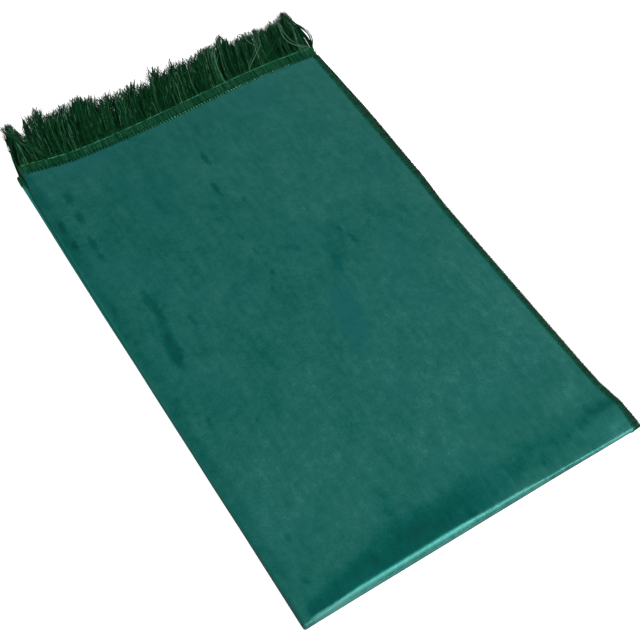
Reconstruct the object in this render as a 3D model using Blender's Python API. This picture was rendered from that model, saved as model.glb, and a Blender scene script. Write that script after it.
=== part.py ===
# A velvet prayer rug with overlocked long sides and a fringed header on each short end.
# It lies folded in four: once lengthwise (the fold is the long left side, at -X) and once
# crosswise (the fold is the near short side, at -Y). Both fringed ends lie together at +Y.
#
# The two thicknesses of the lengthwise fold are a pair: an outer layer and an inner layer,
# joined by a hairpin along the left side. The crosswise fold carries the pair from the
# bottom run, round the near nose, to the top run. From the floor up the layers are
# outer, inner, inner, outer.

import math

import bmesh
import bpy

MM = 0.001

# Driving sizes, in metres
FOLDED_WIDTH = 0.3500        # left fold to the outer rim of the edging
FOLDED_LENGTH = 0.5255       # near fold to the straight line that the headers' outer rims wander about
CLOTH_THICKNESS = 0.0016
LAYER_PITCH = 0.0024         # middle of one layer to the middle of the next
EDGING_WIDTH = 0.0055
EDGING_THICKNESS = 0.0019
HEADER_WIDTH = 0.0120
HEADER_THICKNESS = 0.0019
FITTING_GAP = 0.0003         # between the cloth and what is sewn to it
NEAR_SKEW = 0.0024           # how much further the near fold reaches at its right end
LOOSE_LIFT = 0.0018          # how far the top pair stands off the bottom pair in the middle
CREST_FALL = 0.042           # length over which the crest of the near nose sinks to the flat
FOLD_ROUNDING = 0.014        # the top pair rises from the left fold over this width,
EDGE_ROUNDING = 0.030        # falls to the right edge over this one,
END_ROUNDING = 0.040         # and to the header over this length
HILL_START = 0.012           # clear length between the nose and the first hill
LOCKS_PER_LAYER = 62

# Worked out from the driving sizes
HALF_PITCH = LAYER_PITCH / 2
LEFT_X = -FOLDED_WIDTH / 2
EDGE_X = FOLDED_WIDTH / 2 - EDGING_WIDTH - FITTING_GAP
NEAR_Y = -FOLDED_LENGTH / 2
STRAIGHT_END_Y = FOLDED_LENGTH / 2 - HEADER_WIDTH - FITTING_GAP
OUTER_REACH = HALF_PITCH + CLOTH_THICKNESS / 2
BOTTOM_Z = OUTER_REACH                    # middle of the bottom pair
TOP_Z = BOTTOM_Z + 2 * LAYER_PITCH        # middle of the top pair, where it lies close
EDGING_DROP = (EDGING_THICKNESS - CLOTH_THICKNESS) / 2
HEADER_DROP = (HEADER_THICKNESS - CLOTH_THICKNESS) / 2

# The near nose, for places from the left fold (0) to the right edge (1):
# place, reach of the pair's middle in mm, half height of the pair's middle in mm
NOSE = (
    (0.00, 2.6, 2.50),
    (0.07, 4.4, 3.00),
    (0.22, 5.9, 3.70),
    (0.45, 5.8, 3.65),
    (0.65, 5.0, 3.25),
    (0.85, 3.8, 2.75),
    (0.97, 2.8, 2.75),
)

# How far the folded sides stand out of true, in mm, for places from the near fold (0)
# to the fringed end (1): place, top run, bottom run
LEFT_FOLD = (
    (0.00, 0.0, 0.0),
    (0.15, -0.4, -0.6),
    (0.50, -0.9, -1.5),
    (0.80, -0.7, -2.3),
    (0.93, 0.0, -2.9),
    (1.00, 1.8, -3.2),
)

# place, top outer layer, top inner layer, bottom inner layer, bottom outer layer
RIGHT_EDGE = (
    (0.000, 0.9, 0.5, 0.5, 0.9),
    (0.010, 1.8, 0.8, 0.3, 0.7),
    (0.028, 2.7, 1.2, 0.0, 0.4),
    (0.050, 3.1, 1.3, -0.3, 0.0),
    (0.074, 1.4, 0.0, -0.7, -0.4),
    (0.097, -0.5, -1.5, -1.2, -0.8),
    (0.150, -1.0, -2.2, -1.6, -1.0),
    (0.380, -1.2, -2.6, -2.2, -1.6),
    (0.530, -0.8, -0.4, -1.8, -1.2),
    (0.640, 1.2, 3.2, -1.4, -0.8),
    (0.820, 2.3, 4.7, -1.2, -0.6),
    (0.930, 2.4, 4.2, -1.0, -0.4),
    (1.000, 1.6, 2.8, -0.8, -0.4),
)
EDGE_COLUMN = {("top", 1): 1, ("top", -1): 2, ("bottom", -1): 3, ("bottom", 1): 4}

# How far the fringed ends of the cloth wander from the straight line, in mm, for places
# from left (0) to right (1): place, top run, bottom run
END_LINE = (
    (-0.04, 5.3, -6.6),
    (0.17, -2.3, -6.0),
    (0.90, 14.8, 5.0),
    (1.00, 14.5, 5.0),
)

# Soft hills and hollows of the top run: x and y of the middle from the near right corner,
# spread in x, spread in y, height, all in mm
HILLS = (
    (-20, 19, 20, 10, 1.9),
    (-34, 45, 22, 11, -1.2),
    (-120, 60, 60, 26, -0.5),
    (-250, 210, 70, 90, 0.35),
    (-90, 330, 60, 80, 0.30),
    (-180, 440, 90, 50, -0.35),
)

# Rows of the grid: along the bottom run, round the nose in degrees, along the top run
BOTTOM_ROWS = (1.0, 0.93, 0.80, 0.62, 0.40, 0.25, 0.14, 0.07, 0.025)
NOSE_ROWS = (-90, -68, -46, -24, -4, 16, 36, 54, 72, 90)
TOP_ROWS = (0.010, 0.022, 0.036, 0.050, 0.064, 0.080, 0.098, 0.125, 0.165, 0.23,
            0.31, 0.40, 0.49, 0.58, 0.67, 0.75, 0.83, 0.90, 0.955, 1.0)
ROWS = (
    [("bottom", along) for along in BOTTOM_ROWS]
    + [("nose", angle) for angle in NOSE_ROWS]
    + [("top", along) for along in TOP_ROWS]
)

# Columns of the grid: across a layer from the left fold (0) to the edge (1)
OUTER_COLUMNS = (
    0.0, 0.012, 0.03, 0.055, 0.09, 0.13, 0.17, 0.22, 0.28, 0.35, 0.42, 0.49, 0.56, 0.63, 0.70, 0.77, 0.83,
    0.88, 0.92, 0.96, 0.985, 1.0,
)
INNER_COLUMNS = (0.0, 0.03, 0.09, 0.13, 0.17, 0.22, 0.28, 0.35, 0.42, 0.49, 0.56, 0.63, 0.70, 0.77, 0.83, 0.90, 1.0)
HAIRPIN_ANGLES = (60, 30, 0, -30, -60)

# Where the tips of the fringe lie past the straight line of the headers' outer rims, in mm,
# for places from left (0) to right (1)
FRINGE_TIPS = (
    (0.030, 61), (0.055, 56), (0.075, 47), (0.100, 66), (0.145, 68), (0.165, 55), (0.205, 58),
    (0.240, 62), (0.265, 57), (0.290, 61), (0.335, 54), (0.370, 58), (0.390, 52), (0.410, 57),
    (0.425, 48), (0.445, 55), (0.465, 51), (0.500, 57), (0.525, 68), (0.545, 56), (0.570, 63),
    (0.585, 59), (0.615, 66), (0.660, 67), (0.715, 71), (0.750, 70), (0.777, 80), (0.800, 71),
    (0.825, 63), (0.850, 61), (0.880, 67), (0.915, 66), (0.950, 70), (0.980, 72), (1.010, 75),
    (1.040, 73),
)

# Sideways lean of the fringe, in mm at LEAN_REACH from the header, for places from
# left (0) to right (1)
FRINGE_LEAN = (
    (0.00, 11), (0.05, 8.5), (0.085, 12), (0.16, 16), (0.35, 20), (0.55, 23), (0.76, 24), (1.00, 10),
)
LEAN_REACH = 0.070
LEAN_CURVE = 1.25            # the locks leave the header square and lean more further out
LEAN_RIPPLE = 0.0006         # a small wave in the lean, which gathers the locks in tufts
LEAN_TURNS = 71
SHARP_ANGLE = math.radians(40)

# Sections of a lock: share of its reach, width as a share of the spacing, height in mm
LOCK_SECTIONS = (
    (0.28, 0.86, 1.45),
    (0.68, 0.76, 1.15),
    (1.00, 0.46, 0.80),
)
LEVEL_PITCH = 2.35 * MM      # spacing of the four levels of fringe at the header
LEVEL_SINK = 0.0145          # how much closer the levels lie for each metre of reach

# level, run, side, shift of the pattern of tips across, share of the top fringe's reach
LEVELS = (
    (0, "bottom", 1, 0.013, 1.06),
    (1, "bottom", -1, -0.012, 1.02),
    (2, "top", -1, 0.020, 0.94),
    (3, "top", 1, 0.000, 1.00),
)


def ease(low, high, value):
    share = min(max((value - low) / (high - low), 0.0), 1.0)
    return share * share * (3 - 2 * share)


def read_table(table, place, column=1):
    """Value of a column at a place, eased from row to row."""
    if place <= table[0][0]:
        return table[0][column]
    for before, after in zip(table, table[1:]):
        if place <= after[0]:
            share = ease(before[0], after[0], place)
            return before[column] + share * (after[column] - before[column])
    return table[-1][column]


def left_fold(run, along):
    """X of the left fold. The two runs meet at the near nose."""
    if run == "nose":
        return LEFT_X
    column = 1 if run == "top" else 2
    return LEFT_X + read_table(LEFT_FOLD, along, column) * MM


def right_edge(run, along, side):
    """X of the cloth's raw edge, for the outer layer (side 1) or the inner layer (side -1)."""
    if run == "nose":
        run, along = "top", 0.0
    return EDGE_X + read_table(RIGHT_EDGE, along, EDGE_COLUMN[run, side]) * MM


def place_across(x):
    return (x - LEFT_X) / FOLDED_WIDTH


def nose_size(x):
    place = place_across(x)
    return read_table(NOSE, place, 1) * MM, read_table(NOSE, place, 2) * MM


def end_line(run, x):
    """How far the cloth's fringed end stands out of true."""
    return read_table(END_LINE, place_across(x), 1 if run == "top" else 2) * MM


def hills(x, y):
    total = 0.0
    for middle_x, middle_y, spread_x, spread_y, height in HILLS:
        across = (x - FOLDED_WIDTH / 2 - middle_x * MM) / (spread_x * MM)
        along = (y - NEAR_Y - middle_y * MM) / (spread_y * MM)
        total += height * MM * math.exp(-across * across - along * along)
    return total


def top_lift(x, y, start_y):
    """How far the top pair stands above its close-lying height."""
    across = ease(0.0, FOLD_ROUNDING, x - LEFT_X) * ease(0.0, EDGE_ROUNDING, FOLDED_WIDTH / 2 - x)
    lift = LOOSE_LIFT * across * ease(0.0, CREST_FALL, y - start_y)
    lift += hills(x, y) * ease(0.0, HILL_START, y - start_y)
    return max(lift, 0.0) * ease(0.0, END_ROUNDING, STRAIGHT_END_Y + end_line("top", x) - y)


def pair_point(run, along, x, depth):
    """Y and Z at a depth from the middle of the pair, positive towards the outside."""
    reach, half_height = nose_size(x)
    start_y = NEAR_Y + OUTER_REACH + reach - NEAR_SKEW * place_across(x)
    end_y = STRAIGHT_END_Y + end_line(run, x)
    if run == "bottom":
        return start_y + along * (end_y - start_y), BOTTOM_Z - depth
    if run == "top":
        y = start_y + along * (end_y - start_y)
        crest = BOTTOM_Z + 2 * half_height - TOP_Z
        z = TOP_Z + crest * (1 - ease(0.0, CREST_FALL, y - start_y)) + top_lift(x, y, start_y)
        return y, z + depth
    cosine, sine = math.cos(math.radians(along)), math.sin(math.radians(along))
    out_y, out_z = -cosine / reach, sine / half_height
    size = math.hypot(out_y, out_z)
    y = start_y - reach * cosine + depth * out_y / size
    z = BOTTOM_Z + half_height * (1 + sine) + depth * out_z / size
    return y, z


def columns_of(outer, inner):
    """Place across and hairpin angle of each column: edge, fold, edge."""
    columns = [(across, 90) for across in reversed(outer)]
    columns += [(0.0, angle) for angle in HAIRPIN_ANGLES]
    columns += [(across, -90) for across in inner]
    return columns


def section_point(run, along, column, offset, drop=0.0, rim=0.0):
    """A point of the folded section, offset outwards from the sheet's middle.

    drop moves the outer layer inwards, and rim widens the layers past the raw edge.
    """
    across, angle = column
    cosine, sine = math.cos(math.radians(angle)), math.sin(math.radians(angle))
    side = 1 if sine > 0 else -1
    fold_x = left_fold(run, along) + OUTER_REACH
    edge_x = right_edge(run, along, side) + rim
    x = fold_x + across * (edge_x - fold_x) - cosine * (HALF_PITCH + offset)
    depth = sine * (HALF_PITCH - drop / 2 + offset) - drop / 2
    y, z = pair_point(run, along, x, depth)
    return x, y, z


def loft(mesh, rings, closed_ends=True):
    """Skin a list of rings of vertices with quads, and cap the open ends."""
    count = len(rings[0])
    for ring, following in zip(rings, rings[1:]):
        for i in range(count):
            j = (i + 1) % count
            mesh.faces.new((ring[i], ring[j], following[j], following[i]))
    if closed_ends:
        mesh.faces.new(rings[0])
        mesh.faces.new(rings[-1])


def make_material(name, colour, roughness, sheen):
    material = bpy.data.materials.new(name)
    material.use_nodes = True
    shader = material.node_tree.nodes["Principled BSDF"]
    shader.inputs["Base Color"].default_value = (*colour, 1.0)
    shader.inputs["Roughness"].default_value = roughness
    shader.inputs["Metallic"].default_value = 0.0
    shader.inputs["Sheen Weight"].default_value = sheen
    material.diffuse_color = (*colour, 1.0)
    return material


def finish(mesh, name, material):
    bmesh.ops.recalc_face_normals(mesh, faces=mesh.faces)
    data = bpy.data.meshes.new(name)
    mesh.to_mesh(data)
    mesh.free()
    data.materials.append(material)
    data.shade_smooth()
    data.set_sharp_from_angle(angle=SHARP_ANGLE)
    piece = bpy.data.objects.new(name, data)
    bpy.context.scene.collection.objects.link(piece)
    return piece


def rug_cloth(material):
    """One sheet, from raw edge to raw edge and from end to end."""
    mesh = bmesh.new()
    columns = columns_of(OUTER_COLUMNS, INNER_COLUMNS)
    rings = []
    for run, along in ROWS:
        ring = [section_point(run, along, column, CLOTH_THICKNESS / 2) for column in columns]
        ring += [section_point(run, along, column, -CLOTH_THICKNESS / 2) for column in reversed(columns)]
        rings.append([mesh.verts.new(point) for point in ring])
    loft(mesh, rings, closed_ends=False)
    last = len(rings[0]) - 1
    for ring in (rings[0], rings[-1]):
        for i in range(len(columns) - 1):
            mesh.faces.new((ring[i], ring[i + 1], ring[last - i - 1], ring[last - i]))
    return finish(mesh, "rug_cloth", material)


def edging_section(side):
    """Corners of the overlocked bead, as distance past the raw edge and depth in the pair."""
    half = EDGING_THICKNESS / 2
    middle = HALF_PITCH - EDGING_DROP if side == 1 else -HALF_PITCH
    upper = ((0.00, 0.60), (0.16, 1.00), (0.76, 1.00), (1.00, 0.42))
    corners = [(EDGING_WIDTH * out, middle + half * up) for out, up in upper]
    corners += [(EDGING_WIDTH * out, middle - half * up) for out, up in reversed(upper)]
    return corners


def edging(name, side, material):
    """Overlocking round one long side, from one end of the cloth to the other."""
    mesh = bmesh.new()
    rings = []
    for run, along in ROWS:
        base_x = right_edge(run, along, side) + FITTING_GAP
        ring = []
        for out, depth in edging_section(side):
            y, z = pair_point(run, along, base_x + out, depth)
            ring.append(mesh.verts.new((base_x + out, y, z)))
        rings.append(ring)
    loft(mesh, rings)
    return finish(mesh, name, material)


def lock_ring(mesh, root, out, width, height, level, lean):
    """Four corners of a lock's section: left and right below, right and left above."""
    x = sum(vertex.co.x for vertex in root) / 4 + lean * (out / LEAN_REACH) ** LEAN_CURVE
    y = sum(vertex.co.y for vertex in root) / 4 + out
    low = level * (LEVEL_PITCH - LEVEL_SINK * out)
    turn = math.atan2(lean, LEAN_REACH)
    side_x, side_y = width / 2 * math.cos(turn), -width / 2 * math.sin(turn)
    corners = (
        (x - side_x, y - side_y, low), (x + side_x, y + side_y, low),
        (x + side_x, y + side_y, low + height), (x - side_x, y - side_y, low + height),
    )
    return [mesh.verts.new(corner) for corner in corners]


def add_lock(mesh, root, level, shift, reach_share):
    """A lock of yarn that grows out of the header's outer rim and sinks to rest."""
    place = place_across(root[0].co.x)
    spacing = root[1].co.x - root[0].co.x
    lean = read_table(FRINGE_LEAN, place) * MM
    tip = read_table(FRINGE_TIPS, place + lean / FOLDED_WIDTH + shift) * MM
    reach = (tip - end_line("top", root[0].co.x)) * reach_share
    lean += LEAN_RIPPLE * math.sin(LEAN_TURNS * place + level)
    rings = [root]
    for share, width_share, height in LOCK_SECTIONS:
        width = width_share * spacing
        rings.append(lock_ring(mesh, root, reach * share, width, height * MM, level, lean))
    loft(mesh, rings, closed_ends=False)
    mesh.faces.new(rings[-1])


def fringe(name, run, material):
    """A header strip, folded as the cloth's end is, with its locks on both layers."""
    mesh = bmesh.new()
    steps = [i / LOCKS_PER_LAYER for i in range(LOCKS_PER_LAYER + 1)]
    columns = columns_of(steps, steps)
    rim = FITTING_GAP + EDGING_WIDTH
    rings = []
    for start in (FITTING_GAP, FITTING_GAP + HEADER_WIDTH):
        ring = []
        for face in (1, -1):
            for column in columns if face == 1 else reversed(columns):
                offset = face * HEADER_THICKNESS / 2
                x, y, z = section_point(run, 1.0, column, offset, HEADER_DROP, rim)
                ring.append(mesh.verts.new((x, y + start, z)))
        rings.append(ring)
    loft(mesh, rings, closed_ends=False)
    inner_rim, outer_rim = rings
    last = len(inner_rim) - 1
    locks = {1: [], -1: []}
    for i in range(len(columns) - 1):
        quad = (i, i + 1, last - i - 1, last - i)
        mesh.faces.new([inner_rim[k] for k in quad])
        corners = [outer_rim[k] for k in quad]
        angles = columns[i][1], columns[i + 1][1]
        if angles == (90, 90) or angles == (-90, -90):
            locks[1 if angles[0] > 0 else -1].append(corners)
        else:
            mesh.faces.new(corners)
    for level, level_run, side, shift, reach_share in LEVELS:
        if level_run != run:
            continue
        for corners in locks[side]:
            low = sorted(sorted(corners, key=lambda v: v.co.z)[:2], key=lambda v: v.co.x)
            high = sorted(sorted(corners, key=lambda v: v.co.z)[2:], key=lambda v: v.co.x)
            add_lock(mesh, [low[0], low[1], high[1], high[0]], level, shift, reach_share)
    return finish(mesh, name, material)


def main():
    for thing in list(bpy.data.objects):
        bpy.data.objects.remove(thing, do_unlink=True)

    velvet = make_material("velvet_teal", (0.016, 0.127, 0.102), 0.70, 0.4)
    thread = make_material("overlock_thread", (0.007, 0.055, 0.032), 0.75, 0.1)
    yarn = make_material("fringe_yarn", (0.006, 0.042, 0.018), 0.80, 0.1)

    rug_cloth(velvet)
    edging("edging_outer", 1, thread)
    edging("edging_inner", -1, thread)
    fringe("fringe_top_end", "top", yarn)
    fringe("fringe_bottom_end", "bottom", yarn)


main()
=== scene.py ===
# A velvet prayer rug folded in four, with overlocked sides and a fringe on each end.
# Lengths in the settings are millimetres. Rug places are measured from the left fold and
# from the near fold, as one would with a tape laid on the folded rug.
import math

import bpy
import numpy as np
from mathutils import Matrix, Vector


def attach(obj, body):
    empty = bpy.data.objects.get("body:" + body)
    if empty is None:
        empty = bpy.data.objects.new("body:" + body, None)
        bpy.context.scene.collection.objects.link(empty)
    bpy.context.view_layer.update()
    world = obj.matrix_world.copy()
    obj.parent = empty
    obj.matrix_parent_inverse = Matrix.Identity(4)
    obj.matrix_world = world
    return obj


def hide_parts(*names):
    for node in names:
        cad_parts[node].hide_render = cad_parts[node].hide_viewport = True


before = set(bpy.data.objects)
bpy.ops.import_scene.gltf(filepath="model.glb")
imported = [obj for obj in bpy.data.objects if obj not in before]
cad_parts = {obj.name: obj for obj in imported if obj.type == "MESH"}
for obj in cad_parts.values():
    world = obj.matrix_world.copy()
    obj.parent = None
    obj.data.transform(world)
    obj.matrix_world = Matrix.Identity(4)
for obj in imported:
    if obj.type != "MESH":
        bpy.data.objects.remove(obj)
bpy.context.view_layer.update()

mm = 0.001
chance = np.random.default_rng(41)

portrait = {
    "place": (-362.45, -440.1, 811.6),
    "turnDegrees": (33.5316, -5.1606, -32.9063),
    "lens": 59.4447,
    "sensor": 36.0,
}

studio = {
    "skyBrightness": 0.33,
    "groundBrightness": 0.32,
    "horizonBlur": 0.25,
    # name, direction, distance, width, height, power
    "softboxes": (
        ("keySoftbox", (0.39, -0.4, 0.83), 5000.0, 1500.0, 2200.0, 165.0),
        ("fillSoftbox", (-0.45, -0.45, 0.77), 5000.0, 3000.0, 3000.0, 40.0),
    ),
    "floorSide": 60000.0,
    "floorColour": (0.93, 0.93, 0.93),
    "floorRoughness": 0.9,
    "floorGlow": 0.8,
}

# The folded section that every piece lies on: the solids' own, with a squarer near nose and
# side lines set from the photo
fold = {
    "width": 350.0,
    "length": 525.5,
    "thickness": 1.6,
    "pitch": 2.4,
    "edgingWidth": 5.5,
    "edgingThickness": 1.9,
    "headerWidth": 12.0,
    "headerThickness": 1.9,
    "gap": 0.3,
    "nearSkew": 2.4,
    "looseLift": 1.8,
    "crestFall": 42.0,
    "foldRounding": 14.0,
    "edgeRounding": 30.0,
    "endRounding": 40.0,
    "hillStart": 12.0,
    # place across, reach and half height of the near nose, how far it stands out, and its top past its foot
    "nose": (
        (0.0, 0.8, 2.6, 0.75, 0.0), (0.05, 1.5, 2.9, 0.7, 0.0), (0.16, 6.2, 3.6, 0.76, 0.0),
        (0.38, 6.3, 3.68, 0.66, 0.0), (0.57, 3.0, 3.4, 0.4, 0.0), (0.74, 0.7, 2.9, 0.05, 0.1),
        (0.88, 0.4, 2.65, 0.15, 0.8), (0.97, 0.3, 2.55, 0.1, 1.2),
    ),
    # place along, left fold of the top run, left fold of the bottom run
    "leftFold": (
        (0.0, -0.2, -0.3), (0.15, -0.5, -0.6), (0.3, -0.9, -1.3), (0.5, -1.2, -1.95), (0.7, -1.4, -2.85),
        (0.82, -1.1, -3.1), (0.93, -0.2, -3.0), (1.0, 1.8, -3.2),
    ),
    # place along, raw edge of the top outer, top inner, bottom inner and bottom outer layer
    "rightEdge": (
        (0.0, 0.9, 0.5, 0.5, 0.9), (0.01, 1.8, 0.8, 0.3, 0.7), (0.028, 2.7, 1.2, 0.0, 0.4),
        (0.05, 3.1, 1.3, -0.3, 0.0), (0.074, 1.4, 0.0, -0.7, -0.4), (0.097, -0.5, -1.5, -1.2, -0.8),
        (0.15, -1.0, -2.2, -1.6, -1.0), (0.38, -1.1, -2.6, -2.2, -1.6), (0.53, -1.2, -0.4, -1.8, -1.2),
        (0.64, 0.5, 3.3, -1.4, -0.8), (0.82, 0.9, 4.8, -1.2, -0.6), (0.93, 1.8, 3.9, -1.0, -0.4),
        (1.0, 1.6, 2.8, -0.8, -0.4),
    ),
    # place across, end of the top run, end of the bottom run
    "endLine": (
        (-0.04, 5.3, -3.6), (0.17, -2.3, -5.0), (0.9, 14.8, 5.0), (1.0, 14.5, 5.0),
    ),
    # middle x and y from the near right corner, spread in x and y, height
    "hills": (
        (-14, 18, 18, 12, 1.1), (-34, 45, 22, 11, -1.2), (-120, 60, 60, 26, -0.5),
        (-250, 210, 70, 90, 0.35), (-90, 330, 60, 80, 0.3), (-180, 440, 90, 50, -0.35),
    ),
    # soft creases: rug x and y of both ends, half width, height
    "creases": (
        (306, 31, 350, 36, 5, -0.5), (262, 26, 318, 31, 8, -0.22), (322, 4, 347, 27, 3, 0.16),
        (196, 296, 222, 214, 9, -0.16), (118, 455, 138, 402, 7, -0.14), (150, 430, 172, 380, 9, 0.12),
        (40, 300, 92, 150, 16, 0.14), (230, 420, 300, 330, 14, -0.14), (60, 92, 210, 70, 12, 0.16),
        (20, 480, 52, 380, 8, -0.12),
    ),
}
# the column of a raw edge: 1 is the outer layer of a pair, -1 its inner one
edgeColumn = {
    ("top", 1): 1, ("top", -1): 2, ("nose", 1): 1, ("nose", -1): 2, ("bottom", -1): 3, ("bottom", 1): 4}
rugWidth = fold["width"]
halfPitch = fold["pitch"] / 2
halfCloth = fold["thickness"] / 2
leftX = -rugWidth / 2
nearY = -fold["length"] / 2
edgeX = rugWidth / 2 - fold["edgingWidth"] - fold["gap"]
endY = fold["length"] / 2 - fold["headerWidth"] - fold["gap"]
outerReach = halfPitch + halfCloth
bottomZ = outerReach
topZ = bottomZ + 2 * fold["pitch"]
edgingDrop = (fold["edgingThickness"] - fold["thickness"]) / 2
headerDrop = (fold["headerThickness"] - fold["thickness"]) / 2


def ease(low, high, value):
    share = np.clip((value - low) / (high - low), 0.0, 1.0)
    return share * share * (3 - 2 * share)


def readTable(table, place, column=1):  # a column's value, eased from row to row
    places = np.array([row[0] for row in table], float)
    values = np.array([row[column] for row in table], float)
    place = np.asarray(place, float)
    spot = np.clip(np.searchsorted(places, place, side="right") - 1, 0, len(places) - 2)
    share = ease(places[spot], places[spot + 1], place)
    return values[spot] + share * (values[spot + 1] - values[spot])


def bell(value, middle, spread):
    return np.exp(-(((value - middle) / spread) ** 2))


def placeAcross(x):
    return (x - leftX) / rugWidth


def endLine(run, x):
    return readTable(fold["endLine"], placeAcross(x), 1 if run == "top" else 2)


def hillHeight(x, y):
    total = 0.0
    for middleX, middleY, spreadX, spreadY, height in fold["hills"]:
        across = (x - rugWidth / 2 - middleX) / spreadX
        along = (y - nearY - middleY) / spreadY
        total = total + height * np.exp(-across * across - along * along)
    return total


def creaseHeight(x, y):
    total = 0.0
    for startX, startY, finishX, finishY, halfWidth, height in fold["creases"]:
        runX, runY = finishX - startX, finishY - startY
        fromX, fromY = x - leftX - startX, y - nearY - startY
        share = np.clip((fromX * runX + fromY * runY) / (runX * runX + runY * runY), 0.0, 1.0)
        total = total + height * bell(np.hypot(fromX - share * runX, fromY - share * runY), 0.0, halfWidth)
    return total


def topLift(x, y, startY):
    across = ease(0.0, fold["foldRounding"], x - leftX)
    across = across * ease(0.0, fold["edgeRounding"], rugWidth / 2 - x)
    lift = fold["looseLift"] * across * ease(0.0, fold["crestFall"], y - startY)
    lift = lift + (hillHeight(x, y) + creaseHeight(x, y)) * ease(0.0, fold["hillStart"], y - startY)
    return np.maximum(lift, 0.0) * ease(0.0, fold["endRounding"], endY + endLine("top", x) - y)


def pairPoint(run, along, x, depth):  # y and z at a depth from the middle of a pair of layers
    place = placeAcross(x)
    reach, halfHeight, out, overhang = (readTable(fold["nose"], place, column) for column in (1, 2, 3, 4))
    startY = nearY + outerReach + reach - fold["nearSkew"] * place - out
    if run == "bottom":
        return startY + along * (endY + endLine(run, x) - startY), bottomZ - depth + 0 * x
    if run == "top":
        startY = startY - overhang
        y = startY + along * (endY + endLine(run, x) - startY)
        crest = bottomZ + 2 * halfHeight - topZ
        z = topZ + crest * (1 - ease(0.0, fold["crestFall"], y - startY)) + topLift(x, y, startY)
        return y, z + depth
    cosine, sine = np.cos(np.radians(along)), np.sin(np.radians(along))
    outY, outZ = -cosine / reach, sine / halfHeight
    size = np.hypot(outY, outZ)
    y = startY - reach * cosine - overhang * (1 + sine) / 2 + depth * outY / size
    return y, bottomZ + halfHeight * (1 + sine) + depth * outZ / size


def sideLine(table, run, along, column):  # how far a side stands out of true
    return readTable(fold[table], 0.0 * along if run == "nose" else along, column)


def sectionPoints(run, alongs, columns, offset, drop=0.0, rim=0.0):
    # a grid over one run; columns hold the place across and the hairpin angle
    across, angle = columns[:, 0], np.radians(columns[:, 1])
    along = np.asarray(alongs, float)[:, None]
    foldX = leftX + sideLine("leftFold", run, along, 2 if run == "bottom" else 1) + outerReach
    outer = sideLine("rightEdge", run, along, edgeColumn[run, 1])
    inner = sideLine("rightEdge", run, along, edgeColumn[run, -1])
    rimX = edgeX + np.where(np.sin(angle) > 0, outer, inner) + rim
    x = foldX + across * (rimX - foldX) - np.cos(angle) * (halfPitch + offset)
    depth = np.sin(angle) * (halfPitch - drop / 2 + offset) - drop / 2
    y, z = pairPoint(run, along, x, depth)
    return np.stack([x, y, z], axis=-1)


def makeColumns(outer, hairpin, inner):
    columns = [(across, 90.0) for across in outer[::-1]]
    columns += [(0.0, angle) for angle in hairpin]
    columns += [(across, -90.0) for across in inner]
    return np.array(columns)


def addObject(name, data):
    thing = bpy.data.objects.new(name, data)
    bpy.context.scene.collection.objects.link(thing)
    return thing


def makePiece(name, points, faces, finish, values=None):
    mesh = bpy.data.meshes.new(name)
    mesh.from_pydata((points.reshape(-1, 3) * mm).tolist(), [], faces)
    for key, amounts in (values or {}).items():
        layer = mesh.attributes.new(key, "FLOAT", "POINT")
        layer.data.foreach_set("value", np.asarray(amounts, np.float32).ravel())
    mesh.materials.append(finish)
    mesh.shade_smooth()
    mesh.update()
    return addObject(name, mesh)


def shellFaces(rows, columns):  # two grids, one behind the other, joined round their rims
    index = np.arange(rows * columns).reshape(rows, columns)
    corners = [index[:-1, :-1], index[:-1, 1:], index[1:, 1:], index[1:, :-1]]
    front = np.stack(corners, axis=-1).reshape(-1, 4)
    rim = np.concatenate([index[0, :-1], index[:-1, -1], index[-1, :0:-1], index[:0:-1, 0]])
    following = np.roll(rim, -1)
    behind = rows * columns
    sides = np.stack([rim, rim + behind, following + behind, following], axis=-1)
    return np.concatenate([front, front[:, ::-1] + behind, sides]).tolist()


def sweepStrands(paths, radii, tone, length, sides=3, upright=(0.0, 0.0, 1.0)):
    # a slim tube with closed ends along each path, kept out of the floor; paths are (strand, point, xyz)
    paths = np.concatenate([paths[..., :2], np.maximum(paths[..., 2:], radii[..., None])], axis=-1)
    along = np.gradient(paths, axis=1)
    along /= np.linalg.norm(along, axis=-1, keepdims=True) + 1e-9
    across = np.cross(along, np.array(upright))
    across /= np.linalg.norm(across, axis=-1, keepdims=True) + 1e-9
    above = np.cross(across, along)
    turns = np.arange(sides) * 2 * math.pi / sides + math.pi / 2
    ring = np.cos(turns)[:, None] * across[:, :, None, :] + np.sin(turns)[:, None] * above[:, :, None, :]
    points = paths[:, :, None, :] + radii[:, :, None, None] * ring
    strands, steps = paths.shape[:2]
    index = np.arange(strands * steps * sides).reshape(strands, steps, sides)
    low, high = index[:, :-1], index[:, 1:]
    quads = np.stack([low, high, np.roll(high, -1, axis=2), np.roll(low, -1, axis=2)], axis=-1)
    faces = quads.reshape(-1, 4).tolist()
    faces += index[:, 0].tolist()
    faces += index[:, -1, ::-1].tolist()
    values = {"tone": tone, "length": length}  # per path point, the same all round its ring
    return points, faces, {key: np.repeat(row[:, :, None], sides, axis=2) for key, row in values.items()}


def jitter(spread, *shape):
    return chance.normal(0, spread, shape)


def unevenRadii(radius, count, profile, low=0.8, high=1.15):  # a thickness for each strand, along its profile
    return radius * chance.uniform(low, high, (count, 1)) * profile


def makeTrim(name, parts, finish, node):  # lots of (points, faces, values) as one piece
    points, faces, values = [], [], {}
    for lot, lotFaces, lotValues in parts:
        start = sum(len(some) for some in points)
        points.append(lot.reshape(-1, 3))
        faces += [[corner + start for corner in face] for face in lotFaces]
        for key, amounts in lotValues.items():
            values.setdefault(key, []).append(np.ravel(amounts))
    values = {key: np.concatenate(lots) for key, lots in values.items()}
    piece = makePiece(name, np.concatenate(points), faces, bpy.data.materials[finish], values)
    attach(piece, "root")
    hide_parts(node)
    print(name, "made:", len(faces), "faces")
    return piece


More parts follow.
